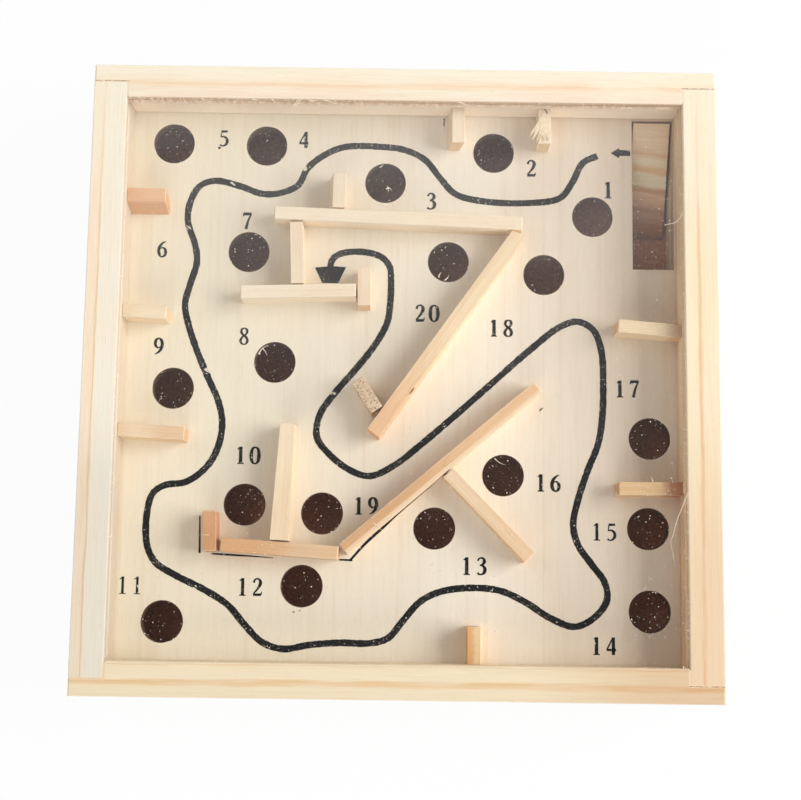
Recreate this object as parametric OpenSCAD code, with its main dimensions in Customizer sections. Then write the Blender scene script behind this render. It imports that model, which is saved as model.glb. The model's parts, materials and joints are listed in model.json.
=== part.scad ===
// Wooden tilt labyrinth: a shallow box with a drilled maze board between a clear cover and a tray.
// The origin is the centre of the box on the table, +X to the right, +Y to the back, +Z up.

/* [Box] */
// Outside length of each side of the square box
box_side = 130; // [129:1:170]
// Thickness of a rail
rail_t = 7; // [6:0.5:7.5]
// Thickness of the tongue at each end of the front and back rails
tongue_t = 3.5; // [2:0.25:3.5]
// Height of rail below the base panel
skirt_h = 2; // [1:0.5:6]
// Height of rail above the clear cover
lip_h = 1.9; // [1:0.1:4]

/* [Panels] */
// Depth of the panel grooves in the rails
groove_d = 2.5; // [1.5:0.25:3]
// Play between a panel and its groove
panel_play = 0.2; // [0.1:0.05:0.4]
// Thickness of the maze board
board_t = 3; // [2:0.5:5]
// Thickness of the clear cover
cover_t = 1.2; // [1:0.1:3]
// Thickness of the hardboard base
base_t = 2.5; // [2:0.5:4]

/* [Ball] */
// Diameter of the steel ball
ball_d = 6; // [5:0.5:7]
// Room above the ball under the clear cover
cover_room = 0.4; // [0.3:0.1:2]
// Room above the ball in the lower tray
tray_room = 2; // [1.5:0.5:5]
// Room beside the ball in a trap hole
hole_room = 2.5; // [1:0.1:3]
// Room beside the ball in the return slot
slot_room = 2.7; // [1.5:0.1:4]
// Clearance of the ball from the surfaces that it rolls along
ball_play = 0.3; // [0.1:0.1:0.5]
// Place of the resting ball along its lane, from the middle of the box
ball_rest = -20.7; // [-40:0.1:10]

/* [Return slot] */
// Length of the return slot
slot_len = 32.8; // [30:0.2:40]
// Board left between the return slot and the rails
slot_edge = 0.3; // [0.2:0.1:1]
// Length of the ramp along the slot
ramp_run = 23; // [18:0.5:26]
// Height of the blunt toe of the ramp
ramp_toe = 0.5; // [0.2:0.1:1]
// Play between the ramp and the sides of the slot
ramp_play = 0.4; // [0.2:0.1:0.8]
// Drop from the board to the top of the ramp
ramp_drop = 0.3; // [0.1:0.1:1]

/* [Strips] */
// Thickness of the wall strips
strip_w = 2.7; // [2:0.1:3.2]
// Thickness of the long diagonal near the front
diagonal_w = 2.6; // [1.8:0.1:3]
// Thickness of the long diagonal that hangs on the long bar
upper_diagonal_w = 3; // [2:0.1:3.4]
// Gap between the strips and the clear cover
strip_gap = 0.6; // [0.3:0.1:1.5]
// Gap where one strip meets another
joint_gap = 0.3; // [0.2:0.1:0.6]
// Gap between the corner stub and the corner bar
corner_gap = 0.7; // [0.3:0.1:1]
// Length of the short stubs
stub_len = 8.2; // [6:0.2:9]
// Length of the short stubs on the front and back walls and on the long bar
wall_stub_len = 7.6; // [6:0.2:9]
// Length of the longer stub in the middle of the left wall
long_stub_len = 9.2; // [7:0.2:11]
// Length of the stub that shows its end grain
grain_stub_len = 7.4; // [5:0.2:9]
// Length of the side strips
side_len = 13.2; // [11:0.2:15]
// Length of the front strip on the left wall
left_front_len = 13.8; // [11:0.2:15]
// Length of the half bars
half_len = 24; // [22:0.2:26]
// Length of the long bars
long_len = 52; // [49:0.2:54]
// Thickness of the tapered upright at its foot
upright_foot_w = 3.8; // [2.5:0.1:4.2]
// Thickness of the tapered upright at its top
upright_top_w = 3; // [2:0.1:4]
// Distance that the top of the stub at the back of the left wall leans to the back
left_stub_lean = 1.5; // [0:0.1:2]
// Distance that the top of the left stub on the back wall leans to the right
back_stub_lean = 0.8; // [0:0.1:2]
// Distance that the top of the stub on the long bar leans to the right
top_stub_lean = 0.9; // [0:0.1:2]

/* [Hidden] */
$fn = 96;
// Overshoot of a cut past the face that it opens
cut = 1;

// Half of the clear width between the rails, and the clear heights over and under the board
wall = box_side / 2 - rail_t;
tray_h = ball_d + tray_room;
maze_h = ball_d + cover_room;
strip_h = maze_h - strip_gap;

// Levels from the table up
base_z = skirt_h;
tray_z = base_z + base_t;
board_z = tray_z + tray_h;
board_top = board_z + board_t;
cover_z = board_top + maze_h;
box_h = cover_z + cover_t + lip_h;

// Openings in the board and the ramp below its slot
hole_d = ball_d + hole_room;
slot_w = ball_d + slot_room;
slot_corner = wall - slot_edge;
ramp_corner = slot_corner - ramp_play;
ramp_w = slot_w - 2 * ramp_play;
ramp_rise = board_top - ramp_drop - tray_z;

// Centres of the trap holes on the board, in the order of the route
HOLES = [
    [40.4, 36.2], [19.2, 50.0], [-3.9, 43.0], [-29.5, 50.9], [-49.4, 51.1],
    [-32.7, 27.5], [-26.6, 3.8], [-47.8, -2.0], [-32.1, -26.2], [-48.4, -50.4],
    [-19.9, -42.8], [7.3, -30.6], [51.8, -47.1], [51.6, -30.1], [21.5, -19.4],
    [52.1, -11.3], [30.0, 23.4], [-16.0, -27.8], [9.7, 25.9]
];

// A strip is the middle of its near end, its direction, its length and the slant of that end's cut
function along(s, d) = s[0] + d * [cos(s[1]), sin(s[1])];
function beside(s, d, off) = along(s, d) + off * [-sin(s[1]), cos(s[1])];

// A strip on a rail is cut to lie flat against it
function on_rail(foot, normal, turn, len) = [foot, normal + turn, len, turn];

// A strip on the side of another stands off it by the gap at its nearest corner
function corner_reach(turn, slant, w) = w / 2 * (abs(sin(turn)) - abs(tan(slant)) * cos(turn));
function on_strip(s, d, side, turn, len, slant = 0, mate_w = strip_w, own_w = strip_w) = [
    beside(s, d, side * (mate_w / 2 + joint_gap + corner_reach(turn, slant, own_w))),
    s[1] + side * 90 + turn, len, slant
];

// Strips against the rails
LEFT_BACK = on_rail([-wall, 38.2], 0, 0, stub_len);
LEFT_MIDDLE = on_rail([-wall, 13.4], 0, -2.5, long_stub_len);
LEFT_FRONT = on_rail([-wall, -11.5], 0, -2.8, left_front_len);
BACK_LEFT = on_rail([11.4, wall], -90, 0, wall_stub_len);
BACK_RIGHT = on_rail([29.6, wall], -90, 0, wall_stub_len);
RIGHT_BACK = on_rail([wall, 10.6], 180, -4.3, side_len);
RIGHT_FRONT = on_rail([wall, -22.1], 180, 0.4, side_len);
FRONT = on_rail([15.4, -wall], 90, 0, wall_stub_len);

// The long bar near the back, and what hangs on it: the pocket of the finish and a diagonal
top_stub_at = 13.4;
top_stub_turn = 1;
finish_side_at = 4.7;
finish_side_turn = 4.2;
upper_diagonal_at = 51.4;
upper_diagonal_turn = -33.3;
upper_diagonal_cut = -16;
TOP_BAR = [[-27, 34.7], -1.8, long_len, 0];
TOP_STUB = on_strip(TOP_BAR, top_stub_at, 1, top_stub_turn, wall_stub_len);
FINISH_SIDE = on_strip(TOP_BAR, finish_side_at, -1, finish_side_turn, side_len);
UPPER_DIAGONAL = on_strip(
    TOP_BAR, upper_diagonal_at, -1, upper_diagonal_turn, long_len, upper_diagonal_cut,
    own_w = upper_diagonal_w
);

// The bar under the finish runs both ways from the foot of the side strip
finish_turn = 1.8;
finish_left = 11.9;
finish_foot = along(FINISH_SIDE, side_len + joint_gap + strip_w / 2);
FINISH_BAR = [
    finish_foot - finish_left * [cos(finish_turn), sin(finish_turn)], finish_turn, half_len, 0
];
finish_stub_drop = 3.3;
finish_stub_turn = 89.2;
FINISH_STUB = [
    beside(FINISH_BAR, half_len + joint_gap + strip_w / 2, -finish_stub_drop),
    finish_turn + finish_stub_turn, stub_len, 0
];

// The stub with its end grain up stands on the far side of the diagonal, near its end
grain_stub_at = 47.6;
grain_stub_turn = -21.6;
GRAIN_STUB = on_strip(
    UPPER_DIAGONAL, grain_stub_at, -1, grain_stub_turn, grain_stub_len, mate_w = upper_diagonal_w
);

// The corner near the front left, and the long diagonal that runs on from the end of its bar
upright_at = 11.8;
upright_turn = 0.8;
CORNER_BAR = [[-36.2, -34.6], -3.6, half_len, 0];
CORNER_UPRIGHT = on_strip(CORNER_BAR, upright_at, 1, upright_turn, half_len);
corner_stub_drop = 1.6;
corner_stub_turn = 95.5;
CORNER_STUB = [
    beside(CORNER_BAR, -corner_gap - strip_w / 2, -corner_stub_drop),
    CORNER_BAR[1] + corner_stub_turn, stub_len, 0
];
diagonal_turn = 40.6;
diagonal_overhang = 0.3;
corner_tip = beside(CORNER_BAR, half_len, strip_w / 2);
LOWER_DIAGONAL = [
    corner_tip + joint_gap * [cos(diagonal_turn), sin(diagonal_turn)]
        + (diagonal_w / 2 - diagonal_overhang) * [sin(diagonal_turn), -cos(diagonal_turn)],
    diagonal_turn, long_len, 0
];
branch_at = 26.4;
branch_turn = 3.8;
LOWER_BRANCH = on_strip(LOWER_DIAGONAL, branch_at, -1, branch_turn, half_len, mate_w = diagonal_w);

// Grooves for the three panels along the inner face of a rail, which lies at x = 0
module grooves(len) {
    for (level = [[base_z, base_t], [board_z, board_t], [cover_z, cover_t]])
        translate([-cut, -len / 2 - cut, level[0]])
            cube([cut + groove_d, len + 2 * cut, level[1] + panel_play]);
}

// A rail across the box, with a tongue at each end that covers the side rails
module cross_rail() {
    difference() {
        translate([0, -box_side / 2, 0]) cube([rail_t, box_side, box_h]);
        for (end = [-1, 1])
            translate([-cut, end > 0 ? wall : -wall - rail_t - cut, -cut])
                cube([cut + rail_t - tongue_t, rail_t + cut, box_h + 2 * cut]);
        grooves(2 * wall - 2 * cut);
    }
}

// A rail between the tongues
module side_rail() {
    len = box_side - 2 * tongue_t;
    difference() {
        translate([0, -len / 2, 0]) cube([rail_t, len, box_h]);
        grooves(len);
    }
}

// A flat panel that reaches into the grooves on all four sides
module panel(z, t) {
    side = 2 * (wall + groove_d - panel_play);
    translate([-side / 2, -side / 2, z]) cube([side, side, t]);
}

// A wall strip on the board, which can taper from its near end to its far end
module strip(s, foot_w = strip_w, top_w = strip_w) {
    slant = tan(s[3]);
    translate([s[0][0], s[0][1], board_top])
        rotate(s[1])
            linear_extrude(strip_h)
                polygon([
                    [foot_w / 2 * slant, foot_w / 2], [-foot_w / 2 * slant, -foot_w / 2],
                    [s[2], -top_w / 2], [s[2], top_w / 2]
                ]);
}

// A square-cut strip whose top leans to its left, or to its right where lean is negative
module leaning_strip(s, lean) {
    half = strip_w / 2;
    translate([s[0][0], s[0][1], board_top])
        rotate([90, 0, s[1] + 90])
            linear_extrude(s[2])
                polygon([
                    [-half - lean, 0], [half - lean, 0], [half, strip_h], [-half, strip_h]
                ]);
}

module front_rail() { color("burlywood") rotate(-90) translate([wall, 0, 0]) cross_rail(); }

module back_rail() { color("burlywood") rotate(90) translate([wall, 0, 0]) cross_rail(); }

module left_rail() { color("wheat") rotate(180) translate([wall, 0, 0]) side_rail(); }

module right_rail() { color("wheat") translate([wall, 0, 0]) side_rail(); }

module base_panel() { color("saddlebrown") panel(base_z, base_t); }

module clear_cover() { color("lightcyan", 0.3) panel(cover_z, cover_t); }

module maze_board() {
    color("antiquewhite")
        difference() {
            panel(board_z, board_t);
            for (place = HOLES)
                translate([place[0], place[1], board_z - cut])
                    cylinder(d = hole_d, h = board_t + 2 * cut);
            translate([slot_corner - slot_w, slot_corner - slot_len, board_z - cut])
                cube([slot_w, slot_len, board_t + 2 * cut]);
        }
}

// A wedge on the base that lifts the ball from the tray to the board at the back end of the slot
module return_ramp() {
    color("tan")
        translate([ramp_corner - ramp_w, ramp_corner - ramp_run, tray_z])
            rotate([90, 0, 90])
                linear_extrude(ramp_w)
                    polygon([[0, 0], [ramp_run, 0], [ramp_run, ramp_rise], [0, ramp_toe]]);
}

// The ball rests in its lane in the tray, along the right rail
module steel_ball() {
    off = ball_d / 2 + ball_play;
    color("silver") translate([wall - off, ball_rest, tray_z + off]) sphere(d = ball_d);
}

module left_back_stub() { color("sandybrown") leaning_strip(LEFT_BACK, left_stub_lean); }

module left_middle_stub() { color("wheat") strip(LEFT_MIDDLE); }

module left_front_strip() { color("burlywood") strip(LEFT_FRONT); }

module back_left_stub() { color("bisque") leaning_strip(BACK_LEFT, back_stub_lean); }

module back_right_stub() { color("bisque") strip(BACK_RIGHT); }

module right_back_strip() { color("burlywood") strip(RIGHT_BACK); }

module right_front_strip() { color("burlywood") strip(RIGHT_FRONT); }

module front_stub() { color("wheat") strip(FRONT); }

module top_bar() { color("wheat") strip(TOP_BAR); }

module top_bar_stub() { color("wheat") leaning_strip(TOP_STUB, -top_stub_lean); }

module finish_side_strip() { color("bisque") strip(FINISH_SIDE); }

module finish_bar() { color("wheat") strip(FINISH_BAR); }

module finish_end_stub() { color("bisque") strip(FINISH_STUB); }

module upper_diagonal() { color("burlywood") strip(UPPER_DIAGONAL, upper_diagonal_w, upper_diagonal_w); }

module end_grain_stub() { color("tan") strip(GRAIN_STUB); }

module lower_diagonal() { color("sandybrown") strip(LOWER_DIAGONAL, diagonal_w, diagonal_w); }

module lower_branch() { color("burlywood") strip(LOWER_BRANCH); }

module corner_upright() { color("wheat") strip(CORNER_UPRIGHT, upright_foot_w, upright_top_w); }

module corner_bar() { color("sandybrown") strip(CORNER_BAR); }

module corner_stub() { color("sandybrown") strip(CORNER_STUB); }

front_rail();
back_rail();
left_rail();
right_rail();
base_panel();
return_ramp();
maze_board();
clear_cover();
steel_ball();
left_back_stub();
left_middle_stub();
left_front_strip();
back_left_stub();
back_right_stub();
right_back_strip();
right_front_strip();
front_stub();
top_bar();
top_bar_stub();
finish_side_strip();
finish_bar();
finish_end_stub();
upper_diagonal();
end_grain_stub();
lower_diagonal();
lower_branch();
corner_upright();
corner_bar();
corner_stub();
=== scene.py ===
"""Dresses the wooden tilt labyrinth: wood, print, loose fibres, dust, light and camera.

Lengths are in metres, but points, the sizes given with them and the sizes of noises are in millimetres.
"""

import json
import math
import random

import bpy
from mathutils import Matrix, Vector

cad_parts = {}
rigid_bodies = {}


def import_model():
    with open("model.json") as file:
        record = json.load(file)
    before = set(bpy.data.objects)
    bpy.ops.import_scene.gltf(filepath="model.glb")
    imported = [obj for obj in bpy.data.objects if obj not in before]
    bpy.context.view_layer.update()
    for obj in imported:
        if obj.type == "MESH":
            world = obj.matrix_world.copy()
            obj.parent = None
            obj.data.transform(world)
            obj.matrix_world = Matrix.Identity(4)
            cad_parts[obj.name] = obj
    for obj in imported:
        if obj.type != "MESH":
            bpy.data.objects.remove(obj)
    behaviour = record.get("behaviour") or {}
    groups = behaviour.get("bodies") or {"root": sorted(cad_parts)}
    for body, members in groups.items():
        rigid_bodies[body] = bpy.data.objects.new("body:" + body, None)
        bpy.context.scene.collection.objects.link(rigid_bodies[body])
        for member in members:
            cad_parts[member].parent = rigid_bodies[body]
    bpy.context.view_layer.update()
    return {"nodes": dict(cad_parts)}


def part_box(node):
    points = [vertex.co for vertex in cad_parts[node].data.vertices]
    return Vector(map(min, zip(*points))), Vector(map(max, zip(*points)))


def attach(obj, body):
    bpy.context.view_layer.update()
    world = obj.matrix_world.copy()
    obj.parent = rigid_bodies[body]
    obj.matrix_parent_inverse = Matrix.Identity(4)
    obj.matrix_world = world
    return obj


for leftover in list(bpy.data.objects):
    bpy.data.objects.remove(leftover)

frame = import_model()
nodes = frame["nodes"]
SEED = 20
rng = random.Random(SEED)

MM = 0.001
BASE_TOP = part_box("base_panel")[1].z
BOARD_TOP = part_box("maze_board")[1].z
STRIP_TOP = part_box("top_bar")[1].z
COVER_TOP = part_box("clear_cover")[1].z
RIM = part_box("left_rail")[1].z
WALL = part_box("right_rail")[0].x
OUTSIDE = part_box("right_rail")[1].x
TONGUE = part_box("right_rail")[1].y

# Film thickness of the print, and how far it stands off the board
INK_T = 0.03 * MM
INK_LIFT = 0.01 * MM

ZERO = (0, 0, 0)
SQUARE = ((-1, -1), (1, -1), (1, 1), (-1, 1))
# What most of a noise lies between
NOISE_RANGE = (0.3, 0.7)


def tone(red, green, blue):
    """Linear colour of an sRGB triple from 0 to 255."""

    def linear(value):
        value /= 255
        return value / 12.92 if value <= 0.04045 else ((value + 0.055) / 1.055) ** 2.4

    return (linear(red), linear(green), linear(blue), 1.0)


class Nodes:
    """A node tree that grows one node at a time."""

    def __init__(self, tree, end):
        self.tree = tree
        self.end = tree.nodes[end]

    def put(self, socket, value):
        if isinstance(value, bpy.types.NodeSocket):
            self.tree.links.new(value, socket)
        else:
            socket.default_value = value

    def add(self, kind, inputs=None, **settings):
        node = self.tree.nodes.new("ShaderNode" + kind)
        for key, value in settings.items():
            setattr(node, key, value)
        for key, value in (inputs or {}).items():
            self.put(node.inputs[key], value)
        return node

    def math(self, operation, first, second=0.0):
        return self.add("Math", {0: first, 1: second}, operation=operation).outputs[0]

    def times(self, first, second):
        return self.math("MULTIPLY", first, second)

    def seen(self):
        """1 where the camera sees the background, also in metal or through glass."""
        path = self.add("LightPath").outputs
        either = self.math("MAXIMUM", path["Is Glossy Ray"], path["Is Transmission Ray"])
        return self.math("MAXIMUM", path["Is Camera Ray"], either)

    def blend(self, share, first, second):
        """Ends the tree in a mix of two shaders."""
        both = self.add("MixShader", {0: share, 1: first, 2: second})
        self.put(self.end.inputs["Surface"], both.outputs["Shader"])


class Finish(Nodes):
    """A material, with its spaces, noises and colours."""

    def __init__(self, name):
        self.material = bpy.data.materials.new(name)
        self.material.use_nodes = True
        super().__init__(self.material.node_tree, "Material Output")
        self.shader = self.tree.nodes["Principled BSDF"]

    def surface(self, **inputs):
        """Sets inputs of the Principled shader; a word's underscore stands for a space."""
        for key, value in inputs.items():
            self.put(self.shader.inputs[key.replace("_", " ")], value)

    def matt(self, colour, noise, smoothest, roughest, gloss):
        """A dull surface whose roughness follows a noise."""
        rough = self.step(noise, *NOISE_RANGE, smoothest, roughest)
        self.surface(Base_Color=colour, Roughness=rough, Specular_IOR_Level=gloss)

    def space(self, origin=ZERO, turn=ZERO, size=(1, 1, 1)):
        """Object coordinates from origin, turned, and counted in steps of size."""
        point = self.add("TexCoord").outputs["Object"]
        inputs = {"Vector": point, "Location": origin, "Rotation": turn, "Scale": size}
        return self.add("Mapping", inputs, vector_type="TEXTURE").outputs["Vector"]

    def parts(self, vector):
        return self.add("SeparateXYZ", {"Vector": vector}).outputs

    def place(self, *space):
        """X, Y and Z in such a space."""
        return self.parts(self.space(*space))

    def upward(self):
        """The vertical part of the surface normal."""
        return self.parts(self.add("NewGeometry").outputs["Normal"])["Z"]

    def grid(self, size, turn, shift):
        """A space in steps of millimetres: along its x, across it, and upright where that differs."""
        return self.space(shift, turn, tuple(v * MM for v in (*size, size[-1])[:3]))

    def blots(self, size, turn=ZERO, detail=2.0, roughness=0.5, shift=ZERO):
        """Noise in blots of such a size."""
        inputs = {"Vector": self.grid(size, turn, shift), "Scale": 1.0, "Detail": detail, "Roughness": roughness}
        return self.add("TexNoise", inputs).outputs["Fac"]

    def cells(self, size, turn=ZERO):
        """Distance from the nearest of scattered points that lie about such a size apart."""
        return self.add("TexVoronoi", {"Vector": self.grid(size, turn, ZERO), "Scale": 1.0}).outputs["Distance"]

    def sway(self, value, noise, reach):
        """The value moved to either side as the noise says, by half of reach at most."""
        return self.math("ADD", value, self.times(self.math("SUBTRACT", noise, 0.5), reach))

    def step(self, value, low, high, to_low=0.0, to_high=1.0):
        """A smooth step from to_low to to_high while value goes from low to high."""
        return self.add(
            "MapRange",
            {"Value": value, "From Min": low, "From Max": high, "To Min": to_low, "To Max": to_high},
            interpolation_type="SMOOTHSTEP",
        ).outputs["Result"]

    def mix(self, factor, first, second, mode="MIX"):
        return self.add("Mix", {0: factor, 6: first, 7: second}, data_type="RGBA", blend_type=mode).outputs[2]

    def ramp(self, value, bands):
        """Colours for values from 0 to 1, given as (value, sRGB triple)."""
        node = self.add("ValToRGB", {"Fac": value})
        elements = node.color_ramp.elements
        while len(elements) < len(bands):
            elements.new(0.5)
        for element, (position, colour) in zip(elements, bands):
            element.position = position
            element.color = tone(*colour)
        return node.outputs["Color"]

    def bump(self, height, strength, distance):
        normal = self.add("Bump", {"Height": height, "Strength": strength, "Distance": distance}).outputs["Normal"]
        self.surface(Normal=normal)


# Wood

FIBRE_SHADE = tone(236, 222, 204)
PORE_SHADE = tone(176, 138, 104)
END_SHADE = tone(242, 230, 212)
WHITE = (1.0, 1.0, 1.0, 1.0)
WORN = tone(252, 243, 226)
FIBRE_SIZE, DASH_SIZE = (11, 0.26), (2.4, 0.15)
FIBRE_BUMP = 0.1 * MM
SHIFT_REACH = 300
WELD_GAP = 0.001 * MM
BEVEL_SEGMENTS = 3
BEVEL_ANGLE = math.radians(30)


def turn_z(degrees):
    return (0.0, 0.0, math.radians(degrees))


def heading_of(degrees):
    return Vector((math.cos(math.radians(degrees)), math.sin(math.radians(degrees)), 0.0))


def darken(f, share, colour, shade):
    """The colour multiplied by a shade, as far as share says."""
    return f.mix(share, colour, f.mix(1.0, colour, shade, "MULTIPLY"))


def any_shift():
    """A place in the wood, so that each piece has a grain of its own."""
    return tuple(rng.uniform(0, SHIFT_REACH) * MM for _ in range(3))


def grain(f, angle, shift, colour, fibre, pores, worn=0.0):
    """Fibres along the angle, pores, end grain and wear over a ground colour, with a bump to match."""
    fibres = f.blots(FIBRE_SIZE, turn_z(angle), 3.0, 0.6, shift)
    dashes = f.blots(DASH_SIZE, turn_z(angle), 1.0, shift=shift)
    normal = f.add("NewGeometry").outputs["Normal"]
    facing = f.add("VectorMath", {0: normal, 1: heading_of(angle)}, operation="DOT_PRODUCT").outputs["Value"]
    colour = darken(f, f.step(fibres, 0.4, 0.68, 0.0, fibre), colour, FIBRE_SHADE)
    colour = darken(f, f.step(dashes, 0.64, 0.74, 0.0, pores), colour, PORE_SHADE)
    colour = darken(f, f.step(f.math("ABSOLUTE", facing), 0.8, 0.95), colour, END_SHADE)
    if worn:
        colour = f.mix(f.step(dashes, 0.25, 0.6, worn, worn * 0.4), colour, WORN)
    f.matt(colour, fibres, 0.56, 0.78, 0.3)
    f.bump(fibres, 0.3, FIBRE_BUMP)


def paint(node, *finishes):
    """Gives a CAD node its materials."""
    materials = nodes[node].data.materials
    materials.clear()
    for finish in finishes:
        materials.append(finish.material)


def dress(node, edge, *finishes):
    """Gives a CAD node its finish and rounds its edges, which take the second finish where there is one."""
    paint(node, *finishes)
    weld = nodes[node].modifiers.new("weld", "WELD")
    weld.merge_threshold = WELD_GAP
    bevel = nodes[node].modifiers.new("rounding", "BEVEL")
    bevel.width = edge
    bevel.segments = BEVEL_SEGMENTS
    bevel.limit_method = "ANGLE"
    bevel.angle_limit = BEVEL_ANGLE
    if len(finishes) > 1:
        bevel.material = 1


# Rails: direction from the inner to the outer edge, and growth bands from edge to edge
RAILS = {
    "front_rail": (-90, [
        (0.0, (245, 228, 195)), (0.05, (243, 225, 191)), (0.08, (231, 200, 156)), (0.12, (243, 226, 192)),
        (0.46, (244, 228, 196)), (0.53, (233, 198, 152)), (0.62, (236, 203, 160)), (0.7, (243, 227, 195)),
        (1.0, (240, 223, 192)),
    ]),
    "back_rail": (90, [
        (0.0, (251, 229, 208)), (0.3, (255, 236, 213)), (0.46, (251, 222, 188)), (0.58, (255, 239, 214)),
        (1.0, (255, 246, 224)),
    ]),
    "left_rail": (180, [
        (0.0, (250, 243, 227)), (0.5, (251, 243, 225)), (0.62, (255, 242, 219)), (0.66, (233, 200, 164)),
        (0.71, (254, 230, 201)), (0.86, (255, 232, 203)), (1.0, (255, 239, 216)),
    ]),
    "right_rail": (0, [
        (0.0, (252, 238, 207)), (0.36, (252, 234, 200)), (0.43, (238, 199, 156)), (0.49, (253, 233, 200)),
        (0.75, (253, 235, 203)), (1.0, (253, 237, 207)),
    ]),
}
RAIL_EDGE = 0.3 * MM
RAIL_WEAR = 0.3
# How far the growth bands move with the depth below the rim, and how far they wander, widely and finely
BAND_SLOPE, BAND_BEND, BAND_RAG = 0.36, 0.16, 0.12
# Where the inner and the outer side begin, in shares of a rail's width
INNER_SIDE, OUTER_SIDE = (0.06, 0.05), (0.96, 0.99)
SHADE_BORDER = 0.3 * MM
# Painted shade on the rails' inner sides in the tray, below the board
PAINTED_TRAY_SHADE = tone(170, 142, 120)
# Painted shade on the inner lip above the cover of the back and left rails, and on the left rail's wall beside the
# maze
PAINTED_LIP_SHADE = tone(218, 208, 199)
# Painted light on the back rail's inner wall between the board and the cover
PAINTED_WALL_LIGHT = tone(255, 240, 221)
LATE_WOOD = tone(234, 196, 150)
# How much of each rail's inner side takes painted shade at the lip over the cover, painted shade beside the maze,
# painted shade in the tray, and painted light beside the maze
PAINTED_INNER_LIGHT_AND_SHADE = {
    "front_rail": (0.0, 0.0, 1.0, 0.0), "back_rail": (1.0, 0.0, 1.0, 0.85), "left_rail": (1.0, 0.85, 1.0, 0.0),
    "right_rail": (0.0, 0.0, 0.0, 0.0),
}
# Darker towards one end of a rail: painted shade at the front ends of the side rails, and a darker right end on the
# front rail. Axis, where it starts, where it is full, and its shade
DARKER_RAIL_ENDS = {
    "front_rail": ("X", 20 * MM, 58 * MM, tone(238, 224, 214)),
    "left_rail": ("Y", -2 * MM, -28 * MM, tone(239, 240, 240)),
    "right_rail": ("Y", 4 * MM, -42 * MM, tone(241, 229, 222)),
}
# Painted light: paler towards the back end of the side rails
PAINTED_BACK_LIGHT = tone(254, 246, 224)
BACK_LIT_RAILS = ("left_rail", "right_rail")
BACK_LIGHT_ENDS = (22 * MM, 58 * MM)


def rail_wood(name, rail, shift, worn):
    """Pine with growth bands that cross the rail's width and go on down its sides."""
    f = Finish(name)
    outward, bands = RAILS[rail]
    along = turn_z(outward + 90)
    here = f.place()
    height = here["Z"]
    width = f.math("SUBTRACT", f.place(ZERO, turn_z(outward))["X"], WALL)
    width = f.math("DIVIDE", width, OUTSIDE - WALL)
    depth = f.math("DIVIDE", f.math("SUBTRACT", RIM, height), OUTSIDE - WALL)
    bend = f.blots((60, 9), along, shift=shift)
    ragged = f.blots((9, 0.8), along, shift=shift)
    patches = f.blots((16, 1.6), along, shift=shift)
    lines = f.blots((110, 4, 2.4), along, 3.0, shift=shift)
    across = f.math("ADD", width, f.times(depth, BAND_SLOPE))
    across = f.sway(f.sway(across, bend, BAND_BEND), ragged, BAND_RAG)
    colour = f.ramp(f.math("PINGPONG", across, 1.0), bands)
    colour = f.mix(f.step(patches, 0.4, 0.66, 0.0, 0.55), colour, tone(*bands[-1][1]))
    # Painted shade at the front ends of the side rails, and the front rail darker towards its right end
    if rail in DARKER_RAIL_ENDS:
        axis, start, full, shade = DARKER_RAIL_ENDS[rail]
        colour = darken(f, f.step(here[axis], start, full), colour, shade)
    # Painted light towards the back ends of the side rails
    if rail in BACK_LIT_RAILS:
        colour = f.mix(f.step(here["Y"], *BACK_LIGHT_ENDS, 0.0, 0.6), colour, PAINTED_BACK_LIGHT)

    lip_shade_share, maze_shade_share, tray_shade_share, maze_light_share = PAINTED_INNER_LIGHT_AND_SHADE[rail]
    inner = f.times(f.step(width, *INNER_SIDE), f.step(f.upward(), 0.98, 0.85))
    beside = f.times(f.step(height, COVER_TOP, COVER_TOP - MM), f.step(height, BOARD_TOP - MM, BOARD_TOP))
    lip = f.step(height, COVER_TOP, COVER_TOP + SHADE_BORDER, maze_shade_share, lip_shade_share)
    # Painted shade in the tray, below the board
    low = f.step(height, BOARD_TOP, BOARD_TOP - SHADE_BORDER, 0.0, tray_shade_share)
    # Painted light on the back wall beside the maze
    colour = f.mix(f.times(inner, f.times(beside, maze_light_share)), colour, PAINTED_WALL_LIGHT)
    # Painted shade at the lip over the cover and on the wall beside the maze
    colour = darken(f, f.times(inner, lip), colour, PAINTED_LIP_SHADE)
    colour = darken(f, f.times(inner, low), colour, PAINTED_TRAY_SHADE)
    outer = f.times(f.step(width, *OUTER_SIDE), f.step(f.upward(), 0.7, 0.4))
    colour = f.mix(f.times(outer, f.step(lines, 0.5, 0.64, 0.0, 0.6)), colour, LATE_WOOD)
    grain(f, outward + 90, shift, colour, 0.22, 0.12, worn)
    return f


for rail in RAILS:
    shift = any_shift()
    wood = rail_wood(rail + "_wood", rail, shift, 0.0)
    dress(rail, RAIL_EDGE, wood, rail_wood(rail + "_edge", rail, shift, RAIL_WEAR))

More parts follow.
